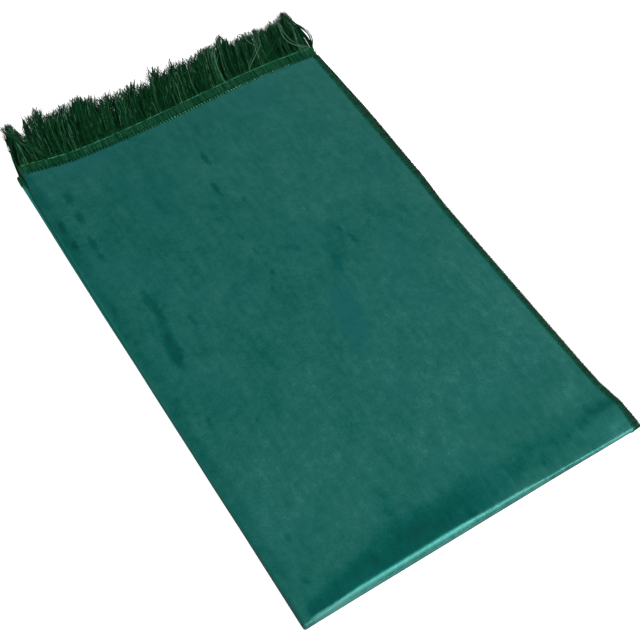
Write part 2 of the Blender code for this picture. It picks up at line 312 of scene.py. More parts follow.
def setUpCamera():
    data = bpy.data.cameras.new("portraitCamera")
    data.sensor_width = portrait["sensor"]
    data.lens = portrait["lens"]
    data.clip_end = 50.0
    camera = addObject("portraitCamera", data)
    camera.location = [length * mm for length in portrait["place"]]
    camera.rotation_euler = [math.radians(angle) for angle in portrait["turnDegrees"]]
    bpy.context.scene.camera = camera
    print("camera set")


def addSoftbox(name, direction, distance, width, height, power):
    data = bpy.data.lights.new(name, "AREA")
    data.shape = "RECTANGLE"
    data.size = width * mm
    data.size_y = height * mm
    data.energy = power
    lamp = addObject(name, data)
    lamp.location = Vector(direction).normalized() * distance * mm
    lamp.rotation_euler = (-lamp.location).to_track_quat("-Z", "Y").to_euler()


def setUpWorld():  # a grey sky over a slightly darker ground
    world = bpy.data.worlds.new("paleStudio")
    world.use_nodes = True
    tree = world.node_tree
    ray = addNode(tree, "TexCoord").outputs["Generated"]
    up = addNode(tree, "SeparateXYZ", None, {0: ray}).outputs["Z"]
    blur = studio["horizonBlur"]
    strength = addNode(tree, "MapRange", None, {
        "Value": up, "From Min": -blur, "From Max": blur,
        "To Min": studio["groundBrightness"], "To Max": studio["skyBrightness"]})
    tree.links.new(strength.outputs[0], tree.nodes["Background"].inputs["Strength"])
    tree.nodes["Background"].inputs["Color"].default_value = (1.0, 1.0, 1.0, 1.0)
    bpy.context.scene.world = world


def setUpStudio():
    setUpWorld()
    bpy.context.scene.view_settings.view_transform = "Standard"
    for softbox in studio["softboxes"]:
        addSoftbox(*softbox)
    half = studio["floorSide"] / 2
    corners = np.array([(-half, -half, 0.0), (half, -half, 0.0), (half, half, 0.0), (-half, half, 0.0)])
    paper = newFinish("paleFloor", {
        "Base Color": (*studio["floorColour"], 1.0),
        "Roughness": studio["floorRoughness"],
        "Specular IOR Level": 0.0,
        "Emission Color": (1.0, 1.0, 1.0, 1.0),
        "Emission Strength": studio["floorGlow"],
    })[0]
    floor = makePiece("studioFloor", corners, [[0, 1, 2, 3]], paper)
    floor.visible_diffuse = False  # the paper stays white without lighting the folds from below
    floor.visible_glossy = False
    print("studio set")


def newFinish(name, inputs):
    finish = bpy.data.materials.new(name)
    finish.use_nodes = True
    shader = finish.node_tree.nodes["Principled BSDF"]
    for key, value in inputs.items():
        shader.inputs[key].default_value = value
    return finish, shader, finish.node_tree


def addNode(tree, kind, settings=None, inputs=None):
    node = tree.nodes.new("ShaderNode" + kind)
    for key, setting in (settings or {}).items():
        setattr(node, key, setting)
    for key, value in (inputs or {}).items():
        if isinstance(value, bpy.types.NodeSocket):
            tree.links.new(value, node.inputs[key])
        else:
            node.inputs[key].default_value = value
    return node


def mathNode(tree, operation, first, second=0.0, third=0.0):
    return addNode(tree, "Math", {"operation": operation}, {0: first, 1: second, 2: third}).outputs[0]


def noiseNode(tree, where, scale, detail=2.0, roughness=0.5):
    inputs = {"Vector": where, "Scale": scale, "Detail": detail, "Roughness": roughness}
    return addNode(tree, "TexNoise", None, inputs).outputs[0]


def unevenNode(tree, where, scale, detail, roughness=0.5, middle=0.5):  # a noise about nought
    return mathNode(tree, "SUBTRACT", noiseNode(tree, where, scale, detail, roughness), middle)


def attributeNode(tree, name):
    return addNode(tree, "Attribute", {"attribute_name": name}).outputs["Fac"]


def layOver(tree, share, under, colour):  # a colour over what lies under it
    inputs = {0: share, 6: under, 7: (*colour, 1.0)}
    return addNode(tree, "Mix", {"data_type": "RGBA"}, inputs).outputs[2]


def addBump(tree, shader, height, strength, distance):
    bump = addNode(tree, "Bump", None, {"Strength": strength, "Distance": distance, "Height": height})
    tree.links.new(bump.outputs[0], shader.inputs["Normal"])


def rampNode(tree, value, stops):
    ramp = addNode(tree, "ValToRGB", None, {0: value})
    elements = ramp.color_ramp.elements
    while len(elements) < len(stops):
        elements.new(0.5)
    for element, (position, colour) in zip(elements, stops):
        element.position = position
        element.color = (*colour, 1.0)
    return ramp.outputs[0]


pile = {
    "flatWidth": 0.7,  # metres, cut size with its turned edges
    "flatLength": 1.05,
    "outerColumns": 132,
    "innerColumns": 30,
    "hairpinAngles": (72, 54, 36, 18, 0, -18, -36, -54, -72),
    "bottomRows": 40,
    "noseRows": 24,
    "topRows": 190,
    # tone, colour: from the deepest painted shade through the pile's own colour to the brightest painted
    # highlight
    "pileColours": (
        (0.0, (0.0, 0.043, 0.034)), (0.24, (0.0001, 0.075, 0.061)), (0.4, (0.0065, 0.098, 0.08)),
        (0.5, (0.0122, 0.112, 0.092)), (0.6, (0.0168, 0.125, 0.103)), (0.75, (0.034, 0.17, 0.145)),
        (1.0, (0.095, 0.31, 0.27)),
    ),
    "turnedColour": (0.008, 0.24, 0.19),  # painted light where the cloth turns down at the left folds, lifting the shade there
    "blueColour": (0.0072, 0.1, 0.106),
    "shineTint": (0.14, 1.0, 0.9),
    "ior": 1.5,
    "roughness": 0.28,
    "specular": 0.55,
    # scale, detail and strength of the nap's unevenness
    "mottling": ((9.0, 2.0, 0.2), (38.0, 3.0, 0.28), (150.0, 3.0, 0.3), (700.0, 3.0, 0.5)),
    "strokes": 0.26,
    "strokeTurn": -8,
    "strokeScale": (170.0, 34.0, 20.0),
    "plainTone": 0.48,
    # painted light and shade in zones across the rug: y, spread, change of tone
    "paintedLightZones": ((110, 70, 0.08), (32, 12, -0.045)),
    "cornerGlow": 0.07,  # painted glow at the near right corner, past its slanting crease
    # painted shade towards the far left
    "farLeftShade": 0.05,
    # painted glow towards the right
    "rightGlow": 0.04,
    "ridgeGlow": 0.11,  # painted glow just past the ridge of the near fold, at the right
    "faceStart": 4.5,  # height at which the near fold's face starts
    # painted lines along the face, a bright one and a dull one: share of its height, spread, change of tone
    "paintedFaceLines": ((0.87, 0.07, 0.03), (0.72, 0.07, -0.08)),
    "faceShade": 0.1,  # painted shade towards the face's foot at the left
    "footShade": 0.3,  # and at the right
    # rug x: y of the middle of the band of painted shade behind the near fold's ridge, its half width, its
    # strength
    "paintedShadeBand": (
        (4, 8, 3, 0.0), (12, 8, 4, 1.0), (22, 8.5, 5, 1.15), (42, 11, 7, 1.2), (80, 14.5, 10, 1.05),
        (120, 17, 10.5, 0.97), (160, 17, 10.5, 0.97), (190, 20, 10, 0.8), (215, 21, 9, 0.55),
        (250, 24, 10, 0.4), (290, 28, 9, 0.4), (325, 30, 6, 0.55), (350, 29, 4, 0.5),
    ),
    # darker ovals, handling marks on the pile and painted shade along the creases by the near right corner:
    # rug x and y, length, width, turn in degrees, darkness
    "marksAndCreaseShade": (
        (168, 450, 19, 5, -89, 0.36), (158, 412, 21, 6, -87, 0.28), (38, 322, 39, 10, -87, 0.26),
        (37, 294, 42, 11, -102, 0.24), (32, 267, 40, 13, -95, 0.42), (27, 467, 17, 8, -92, 0.28),
        (26, 442, 21, 8, -94, 0.3), (23, 409, 20, 7, -94, 0.3), (23, 391, 17, 6, -85, 0.26),
        (7, 440, 15, 6, -93, 0.3), (8, 415, 12, 5, -92, 0.28), (226, 299, 55, 18, -107, 0.14),
        (242, 295, 20, 5, -86, 0.28), (212, 277, 29, 9, -105, 0.18), (237, 311, 9, 5, -76, 0.26),
        (149, 348, 10, 5, -82, 0.24), (152, 326, 10, 4, -82, 0.22), (153, 298, 8, 4, -95, 0.24),
        (144, 283, 17, 4, -111, 0.14), (281, 315, 36, 14, -66, 0.13), (186, 313, 18, 8, -58, 0.16),
        (224, 347, 19, 6, -101, 0.12), (325, 373, 20, 6, -121, 0.12), (62, 286, 21, 5, -90, 0.24),
        (175, 386, 11, 4, -97, 0.2), (24, 191, 9, 4, -78, 0.2), (60, 170, 7, 4, -85, 0.2),
        (27, 68, 11, 5, -78, 0.2), (19, 32, 10, 5, -73, 0.2), (109, 45, 11, 6, -71, 0.16),
        (302, 21, 9, 4, -109, 0.13), (287, 22, 8, 4, -105, 0.09), (251, 12, 7, 4, -90, 0.2),
        (230, 18, 8, 4, -76, 0.15), (334, 28.5, 20, 9, 2, 0.15), (320, 32, 15, 8, -55, 0.14),
        (309, 24.6, 9, 5, -90, 0.09), (286, 21, 10, 5, -95, 0.1), (272, 24, 9, 5, -80, 0.08),
        (109, 432, 70, 30, -93, 0.08), (101, 418, 26, 8, -85, 0.14), (6, 332, 16, 5, -103, 0.14),
        (183, 482, 52, 20, -100, 0.07), (188, 214, 100, 26, -104, 0.1), (70, 360, 90, 50, -95, 0.07),
    ),
    # rug x: how far up from the near fold the painted highlight on its ridge reaches, and how bright it is
    # painted
    "crest": (
        (0, 2.6, 0.24), (15, 3.9, 0.62), (50, 4.45, 0.46), (135, 4.45, 0.44), (170, 4.2, 0.41),
        (200, 3.7, 0.39), (260, 1.4, 0.17), (310, -0.2, 0.23), (350, -1.2, 0.34),
    ),
    # patches where the pile looks bluer: rug x and y, length, width, turn, amount
    "bluePatches": (
        (188, 222, 110, 36, -104, 0.45), (214, 285, 50, 22, -100, 0.25), (250, 500, 110, 40, 10, 0.35),
        (320, 400, 60, 30, -70, 0.25), (60, 505, 70, 24, 5, 0.3),
    ),
    "markRaggedness": 8.0,
    "markSharpness": 2.2,
    "markStrength": 0.9,
    "markSpread": (1.25, 1.35),  # the ovals are drawn larger, because they fade to their rims
    "shadeRaggedness": 0.85,
    "shadeDepth": 0.33,
    # noises: scale, detail, roughness, and for some the value that counts as nought
    "shadeNoise": (85.0, 5.0, 0.65, 0.5),
    "blueNoise": (16.0, 2.0, 0.5, 0.46),
    "mostBlue": 0.9,
    "pileNoise": (1100.0, 3.0, 0.7),
    "pileBump": (0.6, 0.0002),
    "overHeader": 1.6,  # how far the pile lies over the top header at its left
    "overHeaderEnds": (170, 110),  # rug x: from none of it to all of it
}


def toneWithPaintedLight(points):  # the pile's tone with its painted light and shade, how deep the painted shade of the dark zones lies, and the painted light where the cloth turns down at the left
    rugX, rugY = points[..., 0] - leftX, points[..., 1] - nearY
    # painted shade behind the near fold's ridge, and the painted highlight on it
    middle, half, strength = (readTable(pile["paintedShadeBand"], rugX, column) for column in (1, 2, 3))
    crestEnd, paintedRidgeHighlight = (readTable(pile["crest"], rugX, column) for column in (1, 2))
    edge = (rugY - middle) / half
    shade = strength * (1 - ease(0.0, 2.4, edge)) * ease(0.3, 1.6, rugY - crestEnd)
    shade *= 1 - ease(165, 205, rugX) * ease(-0.4, -1.8, edge)  # further right it leaves the fold
    # painted shade along the left fold
    paintedFoldShade = (0.3 + 0.2 * ease(350, 450, rugY)) * ease(16, 4, rugX) * ease(22, 60, rugY)
    shade = np.maximum(shade, paintedFoldShade)
    tone = np.full(rugX.shape, pile["plainTone"])
    for zoneY, spread, change in pile["paintedLightZones"]:
        tone += change * bell(rugY, zoneY, spread)
    # painted glows and shade over the top, and the painted highlight on the near fold's ridge
    tone += pile["cornerGlow"] * ease(-4, 3, rugX - 320 - rugY) * ease(30, 22, rugY)
    tone -= pile["farLeftShade"] * ease(150, 480, rugY) * ease(260, 60, rugX)
    tone += pile["rightGlow"] * ease(150, 330, rugX)
    tone += paintedRidgeHighlight * ease(0.35, -0.35, rugY - crestEnd)
    tone += pile["ridgeGlow"] * ease(5.0, 0.5, rugY - crestEnd) * ease(190, 240, rugX)
    # painted light and shade down the near fold's face, with painted shade deepest where the face turns down
    low = pile["faceStart"]
    high = 2 * bottomZ + 2 * readTable(fold["nose"], placeAcross(points[..., 0]), 2)
    rise = (points[..., 2] - low) / (high - low)
    paintedLines = sum(change * bell(rise, share, spread) for share, spread, change in pile["paintedFaceLines"])
    face = ease(1.0, 0.0, rugY - crestEnd) * ease(220, 180, rugX)
    tone += face * (paintedLines - pile["faceShade"] * ease(0.45, 0.15, rise))
    tone -= pile["footShade"] * ease(0.3, -0.15, rise) * ease(180, 220, rugX) * (rugY < crestEnd)
    # painted light where the cloth turns down at the left
    turned = ease(0.8, -2.2, rugX) * ease(4, 14, rugY)
    return tone, shade, turned


def addSpots(tree, where, spots, strength, spread, total):
    # adds ovals to a value, in full in their middle and nothing from their rim on
    for rugX, rugY, length, width, turn, amount in spots:
        place = addNode(tree, "Mapping", {"vector_type": "TEXTURE"}, {
            "Vector": where,
            "Location": ((rugX + leftX) * mm, (rugY + nearY) * mm, 9 * mm),
            "Rotation": (0.0, 0.0, math.radians(turn)),
            "Scale": (length * spread[0] / 2 * mm, width * spread[1] / 2 * mm, 5 * mm)}).outputs[0]
        spot = addNode(tree, "TexGradient", {"gradient_type": "SPHERICAL"}, {"Vector": place}).outputs["Fac"]
        spot = mathNode(tree, "MULTIPLY", spot, pile["markSharpness"])
        spot = mathNode(tree, "MINIMUM", spot, 1.0)
        total = mathNode(tree, "MULTIPLY_ADD", spot, strength * amount, total)
    return total


def velvetFinish():
    finish, shader, tree = newFinish("velvetPile", {
        "Roughness": pile["roughness"],
        "IOR": pile["ior"],
        "Specular IOR Level": pile["specular"],
        "Specular Tint": (*pile["shineTint"], 1.0),
    })
    where = addNode(tree, "TexCoord").outputs["Object"]
    tone = attributeNode(tree, "napWithPaintedLight")
    for scale, detail, amount in pile["mottling"]:
        tone = mathNode(tree, "MULTIPLY_ADD", unevenNode(tree, where, scale, detail), amount, tone)
    strokes = addNode(tree, "Mapping", None, {
        "Vector": where,
        "Rotation": (0.0, 0.0, math.radians(pile["strokeTurn"])),
        "Scale": pile["strokeScale"]}).outputs[0]
    tone = mathNode(tree, "MULTIPLY_ADD", unevenNode(tree, strokes, 1.0, 3.0), pile["strokes"], tone)
    # the painted shade of the dark zones ends in a ragged line
    shade = attributeNode(tree, "shade")
    fray = unevenNode(tree, where, *pile["shadeNoise"])
    shade = mathNode(tree, "MULTIPLY_ADD", fray, pile["shadeRaggedness"], shade)
    shade = addNode(tree, "MapRange", None, {"Value": shade}).outputs[0]  # kept from 0 to 1
    tone = mathNode(tree, "MULTIPLY_ADD", shade, -pile["shadeDepth"], tone)
    # the marks' rims are ragged, so their places are read through a noise
    noise = addNode(tree, "TexNoise", None, {"Vector": where, "Scale": 260.0, "Detail": 4.0})
    shift = addNode(tree, "VectorMath", {"operation": "SUBTRACT"}, {
        0: noise.outputs["Color"], 1: (0.5, 0.5, 0.5)})
    drift = (pile["markRaggedness"] * mm,) * 2 + (0.0,)
    frayed = addNode(tree, "VectorMath", {"operation": "MULTIPLY_ADD"}, {
        0: shift.outputs[0], 1: drift, 2: where}).outputs[0]
    tone = addSpots(tree, frayed, pile["marksAndCreaseShade"], -pile["markStrength"], pile["markSpread"], tone)
    colour = rampNode(tree, tone, pile["pileColours"])
    blue = unevenNode(tree, where, *pile["blueNoise"])
    blue = addSpots(tree, frayed, pile["bluePatches"], 1.0, (1.0, 1.0), blue)
    blue = addNode(tree, "Clamp", None, {"Value": blue, "Max": pile["mostBlue"]}).outputs[0]
    colour = layOver(tree, blue, colour, pile["blueColour"])
    # painted light over the left folds' turn
    colour = layOver(tree, attributeNode(tree, "turned"), colour, pile["turnedColour"])
    tree.links.new(colour, shader.inputs["Base Color"])
    addBump(tree, shader, noiseNode(tree, where, *pile["pileNoise"]), *pile["pileBump"])
    return finish


def overHeader(x):  # how far the pile of the top layer lies over its header
    return pile["overHeader"] * ease(*pile["overHeaderEnds"], x - leftX)


def makeVelvet():
    outer = np.linspace(0, 1, pile["outerColumns"])
    outer = outer - 0.35 * np.sin(2 * math.pi * outer) / (2 * math.pi)
    inner = np.linspace(0, 1, pile["innerColumns"])
    columns = makeColumns(outer, pile["hairpinAngles"], inner)
    runs = (
        ("bottom", np.linspace(1.0, 0.015, pile["bottomRows"])),
        ("nose", np.linspace(-90, 90, pile["noseRows"])),
        ("top", np.linspace(0.0, 1.0, pile["topRows"] + 1)[1:] ** 1.2),
    )
    front = np.concatenate([sectionPoints(run, rows, columns, halfCloth) for run, rows in runs])
    back = np.concatenate([sectionPoints(run, rows, columns, -halfCloth) for run, rows in runs])
    points = np.stack([front, back])
    fromEnd = endY + endLine("top", points[..., 0]) - points[..., 1]
    points[..., 1] += overHeader(points[..., 0]) * (points[..., 2] > topZ) * ease(9, 0, fromEnd)
    isTop = points[..., 2] > 1.2
    tone, shade, turned = toneWithPaintedLight(points)
    tone, shade = np.where(isTop, tone, 0.49), np.where(isTop, shade, 0.0)
    faces = shellFaces(*front.shape[:2])
    values = {"napWithPaintedLight": tone, "shade": shade, "turned": turned}
    velvet = makePiece("rugVelvet", points, faces, velvetFinish(), values)
    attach(velvet, "root")
    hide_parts("rug_cloth")
    print("velvet folded:", len(faces), "faces")
    return velvet


def threadFinish(name, stops, roughness, shine, twist):
    shader, tree = newFinish(name, {
        "Roughness": roughness, "Specular IOR Level": shine, "Specular Tint": (0.25, 1.0, 0.5, 1.0)})[1:]
    where = addNode(tree, "TexCoord").outputs["Object"]
    tone = attributeNode(tree, "tone")
    tone = mathNode(tree, "MULTIPLY_ADD", unevenNode(tree, where, 260.0, 3.0), 0.3, tone)
    tree.links.new(rampNode(tree, tone, stops), shader.inputs["Base Color"])
    turns = mathNode(tree, "MULTIPLY", attributeNode(tree, "length"), 2 * math.pi / twist)
    addBump(tree, shader, mathNode(tree, "SINE", turns), 0.5, 0.0001)


edging = {
    "pitch": 1.0,
    "slant": 1.5,  # how far a wrap runs on while it goes over the edge
    "threadRadius": 0.27,
    "overlap": 2.0,  # how far the wraps reach onto the pile
    "fullness": 1.2,  # how far the wraps stand out past the bead
    "cornerFlare": 1.3,  # how much wider it is where it turns under at the near corner
    "linePitch": 2.2,
    "pitchDrift": 0.1,
    "looseness": 0.05,
    "fade": (0.9, 0.86, 0.78, 0.54, 0.36, 0.22, 0.2, 0.3, 0.3),  # tone along a wrap
    "finish": (0.55, 0.2, 0.7),  # roughness, shine, length of a twist
    "toneSpread": (0.15, 0.16, 0.14),  # from wrap to wrap, along a wrap, and over some wraps
    # the bead's section: out, share of its height
    "beadShape": ((0.1, 0.55), (0.9, 0.85), (4.2, 0.85), (5.1, 0.35),
                  (5.1, -0.35), (4.2, -0.85), (0.9, -0.85), (0.1, -0.55)),
    "colours": (
        (0.0, (0.013, 0.017, 0.013)), (0.25, (0.014, 0.047, 0.034)), (0.5, (0.008, 0.068, 0.043)),
        (0.8, (0.003, 0.108, 0.048)), (1.0, (0.012, 0.2, 0.095)),
    ),
}


def edgingFrames(side, outs, depths):
    # grid of points round one long side: rows go from end to end, columns are (out, depth)
    lots = []
    runs = (("bottom", np.linspace(1.0, 0.004, 330)), ("nose", np.linspace(-90, 90, 40)),
            ("top", np.linspace(0.004, 1.0, 330)))
    for run, rows in runs:
        along = rows[:, None]
        baseX = edgeX + sideLine("rightEdge", run, along, edgeColumn[run, side]) + fold["gap"]
        flare = 1.0 if run == "nose" else ease(0.035, 0.0, along)
        wider = 1 + flare * edging["cornerFlare"] / fold["edgingWidth"]
        x = baseX + np.asarray(outs) * wider
        y, z = pairPoint(run, along, x, np.asarray(depths))
        lots.append(np.stack([x, y, z], axis=-1))
    return np.concatenate(lots)


def sampleFrames(grid, rows, columns):  # reads a grid of points between its rows and columns
    lowRow = np.clip(np.floor(rows).astype(int), 0, grid.shape[0] - 2)
    lowColumn = np.clip(np.floor(columns).astype(int), 0, grid.shape[1] - 2)
    rowShare = np.clip(rows - lowRow, 0, 1)[..., None]
    columnShare = np.clip(columns - lowColumn, 0, 1)[..., None]
    near = grid[lowRow, lowColumn] * (1 - columnShare) + grid[lowRow, lowColumn + 1] * columnShare
    far = grid[lowRow + 1, lowColumn] * (1 - columnShare) + grid[lowRow + 1, lowColumn + 1] * columnShare
    return near * (1 - rowShare) + far * rowShare


def makeEdging(name, side, node):
    width, half = fold["edgingWidth"], fold["edgingThickness"] / 2
    middle = halfPitch - edgingDrop if side == 1 else -halfPitch
    radius = edging["threadRadius"]
    face = half - radius
    pileTop = halfPitch + halfCloth + 0.15 - middle
    # one wrap: over the pile, over the bead, round its rim and back under it
    rim = width + edging["fullness"] - radius
    outs = np.array([-edging["overlap"], -0.6, 0.9, 2.4, rim - 0.9, rim, rim - 0.9, 3.0, 0.6])
    ups = np.array([pileTop, pileTop + 0.1, face + 0.25, face + 0.2, face, 0.0, -face, -face - 0.1, -face])
    if side == -1:
        outs[:2], ups[:2] = (0.25, 0.5), (face * 0.6, face)
    grid = edgingFrames(side, outs, middle + ups)
    spine = grid[:, 4]
    lengths = np.concatenate([[0], np.cumsum(np.linalg.norm(np.diff(spine, axis=0), axis=1))])
    count = int(lengths[-1] / edging["pitch"])
    starts = np.linspace(0.8, lengths[-1] - 0.8 - edging["slant"], count)
    starts = starts + jitter(edging["pitchDrift"], count)
    steps = np.arange(len(outs))
    reach = starts[:, None] + edging["slant"] * steps / (len(outs) - 1)
    rows = np.interp(reach, lengths, np.arange(len(lengths)))
    paths = sampleFrames(grid, rows, np.broadcast_to(steps, rows.shape))
    paths = paths + jitter(edging["looseness"], *paths.shape)
    radii = unevenRadii(radius, count, np.ones(len(outs)))
    wrapSpread, pointSpread, stretchSpread = edging["toneSpread"]
    tone = np.array(edging["fade"]) + jitter(wrapSpread, count, 1)
    tone = tone + jitter(pointSpread, count, len(outs))
    everyThird = np.arange(0, count, 3)
    stretch = np.interp(np.arange(count), everyThird, jitter(stretchSpread, len(everyThird)))
    tone = tone + stretch[:, None]
    parts = [sweepStrands(paths, radii, tone, np.broadcast_to(steps * 1.4, tone.shape), 3, (0.0, 1.0, 0.0))]
    # the bead that the wraps are drawn tight over
    shape = np.array(edging["beadShape"])
    bead = edgingFrames(side, shape[:, 0], middle + shape[:, 1] * (half - 0.12))
    index = np.arange(bead.shape[0] * len(shape)).reshape(bead.shape[0], len(shape))
    low, high = index[:-1], index[1:]
    quads = np.stack([low, np.roll(low, -1, axis=1), np.roll(high, -1, axis=1), high], axis=-1)
    beadFaces = quads.reshape(-1, 4).tolist() + [index[0, ::-1].tolist(), index[-1].tolist()]
    flat = np.full(bead.shape[:2], 0.12)
    parts.append((bead, beadFaces, {"tone": flat, "length": flat}))
    if side == 1:
        # the needle line that holds the wraps down on the pile
        lineGrid = edgingFrames(side, [-1.6, -0.2], [middle + pileTop + 0.3] * 2)
        stitches = int(lengths[-1] / edging["linePitch"])
        begin = np.linspace(0.5, lengths[-1] - 2.6, stitches)[:, None]
        reach = begin + np.array([0.0, 0.5, 1.3, 1.9]) * edging["linePitch"] / 2.0
        rows = np.interp(reach, lengths, np.arange(len(lengths)))
        line = sampleFrames(lineGrid, rows, np.broadcast_to([0.25, 0.35, 0.45, 0.55], rows.shape))
        line[..., 2] += np.array([-0.3, 0.0, 0.0, -0.3])
        radii = np.broadcast_to([0.14, 0.24, 0.24, 0.14], rows.shape)
        tone = 0.92 + jitter(0.1, stitches, 1) + 0 * rows
        parts.append(sweepStrands(line, radii, tone, reach, 4))
    return makeTrim(name, parts, "overlockThread", node)


header = {
    "ribPitch": 0.95,
    "ribRadius": 0.36,
    "chainPitch": 2.6,
    "chainRadius": 0.19,
    "toothPitch": 3.4,
    "toothRadius": 0.4,
    "toothReach": 2.7,  # how far the teeth lie on the pile
    "knotRadius": 0.72,
    "finish": (0.55, 0.15, 0.9),
    "ribTone": (0.62, 0.2, 0.08),  # middle, spread from rib to rib, slow wave
    "ribToneEnds": (0.25, 0.8),
    # a tooth's line: place across, place towards the fringe
    "toothShape": ((-0.35, 1.1), (-0.42, 0.0), (-0.36, -1.2), (0.0, -1.75),
                   (0.36, -1.2), (0.42, 0.0), (0.35, 1.1)),
    "colours": (
        (0.0, (0.0008, 0.012, 0.005)), (0.3, (0.003, 0.055, 0.022)), (0.6, (0.0085, 0.136, 0.059)),
        (0.85, (0.048, 0.205, 0.112)), (1.0, (0.125, 0.48, 0.325)),
    ),
}


def headerPoints(run, columns, distances, offset):
    # points over a header strip: columns across, distances from the cloth's end towards the fringe
    rim = fold["gap"] + fold["edgingWidth"]
    line = sectionPoints(run, [1.0], columns, offset, headerDrop, rim)[0]
    points = np.repeat(line[:, None, :], len(distances), axis=1)
    points[..., 1] += np.asarray(distances)
    return points


def makeHeader(name, run, node):
    width, half = fold["headerWidth"], fold["headerThickness"] / 2
    gap = fold["gap"]
    # the plain strip inside
    across = np.linspace(0.002, 0.998, 90)
    columns = makeColumns(across, (60, 30, 0, -30, -60), across)
    distances = gap + np.array([0.15, 2.0, 6.0, 10.0, width - 0.2])
    front = headerPoints(run, columns, distances, half - 0.32)
    back = headerPoints(run, columns, distances, -half + 0.32)
    strip = np.stack([front, back])
    flat = np.full(strip.shape[:-1], 0.16)
    parts = [(strip, shellFaces(*front.shape[:2]), {"tone": flat, "length": flat})]
    # the ribs: yarns that run through the strip and out into the fringe
    count = int(rugWidth / header["ribPitch"])
    across = (np.arange(count) + 0.5) / count
    columns = makeColumns(across, (66, 33, 0, -33, -66), across)
    steps = gap + np.array([0.0, 0.5, 4.0, 8.0, 11.6, width])
    heights = half + np.array([-0.45, -0.22, -0.16, -0.16, -0.2, -0.35])
    for face in (1, -1):
        ribs = np.stack([headerPoints(run, columns, [step], face * height)[:, 0]
                         for step, height in zip(steps, heights)], axis=1)
        if run == "top" and face == 1:
            ribs[:, :2, 1] += overHeader(ribs[:, :2, 0])
        ribs[..., 0] += jitter(0.12, len(columns), 1) + 0.05 * (steps - 6)
        radii = unevenRadii(header["ribRadius"], len(columns), np.ones(len(steps)))
        middle, spread, wave = header["ribTone"]
        tone = middle + jitter(spread, len(columns), 1) + wave * np.sin(columns[:, :1] * 40)
        tone = np.clip(tone + 0 * steps, *header["ribToneEnds"])
        parts.append(sweepStrands(ribs, radii, tone, tone * 0 + steps))
    # a corded chain stitch along the rim where the fringe leaves
    steps = np.arange(0, rugWidth - 1, 0.45)
    across = makeColumns(steps / rugWidth, (), ())[::-1]
    turn = 2 * math.pi * steps / header["chainPitch"]
    for ply in (0, math.pi):
        rope = headerPoints(run, across, [gap + width - 0.7], half + 0.12)[:, 0]
        rope[:, 1] += 0.42 * np.cos(turn + ply)
        rope[:, 2] += (0.2 * np.sin(turn + ply)) * (1 if run == "top" else -1)
        radii = np.full((1, len(steps)), header["chainRadius"])
        dashes = np.interp(steps, steps[::5], jitter(0.28, len(steps[::5])))
        tone = np.clip(0.74 + 0.0003 * steps + 0.14 * np.sin(turn + ply) + dashes, 0.2, 0.98)[None]
        parts.append(sweepStrands(rope[None], radii, tone, steps[None], 4))

    def stitchPoint(x, distance, height):
        return headerPoints(run, np.array([(x / rugWidth, 90.0)]), [distance], half + height)[0, 0]

    # the teeth: stitches that reach back over the pile, dark for the painted shade in the pits round them,
    # with a pale knot beside each as a painted highlight of the pile bulging between them
    count = int((rugWidth - 8) / header["toothPitch"])
    shape = np.array(header["toothShape"])
    reach = header["toothReach"] / 1.75
    teeth, knots, knotHighlight = [], [], []
    for number in range(count):
        middleX = 3.0 + (number + 0.5) * header["toothPitch"] + chance.normal(0, 0.12)
        long = reach * chance.uniform(0.8, 1.15)
        teeth.append([stitchPoint(middleX + out, gap + back * long, 0.1) for out, back in shape])
        knotX = middleX + header["toothPitch"] / 2 + chance.normal(0, 0.15)
        highlightShare = ease(80, 170, knotX) * ease(352, 300, knotX)  # the painted highlights show on the right two thirds
        knotHighlight.append(0.5 + 0.42 * highlightShare * chance.uniform(0.7, 1.2))
        reachBack = 0.25 + 0.75 * highlightShare
        knots.append([stitchPoint(knotX + out, gap - back * reachBack, 0.06)
                      for out, back in ((-0.3, 0.0), (0.0, 1.0), (0.4, 2.2))])
    teeth, knots = np.array(teeth), np.array(knots)
    if run == "top":
        teeth[..., 1] += overHeader(teeth[..., 0])
        knots[..., 1] += overHeader(knots[..., 0])
    radii = header["knotRadius"] * np.array([0.5, 1.0, 0.5]) * np.ones((count, 1))
    tone = np.array(knotHighlight)[:, None] + np.zeros(3)
    parts.append(sweepStrands(knots, radii, tone, tone * 6, 5))
    radii = np.full(teeth.shape[:2], header["toothRadius"])
    tone = 0.22 + jitter(0.08, count, 1) + np.zeros(len(shape))
    parts.append(sweepStrands(teeth, radii, tone, tone * 6, 4))
    return makeTrim(name, parts, "headerThread", node)


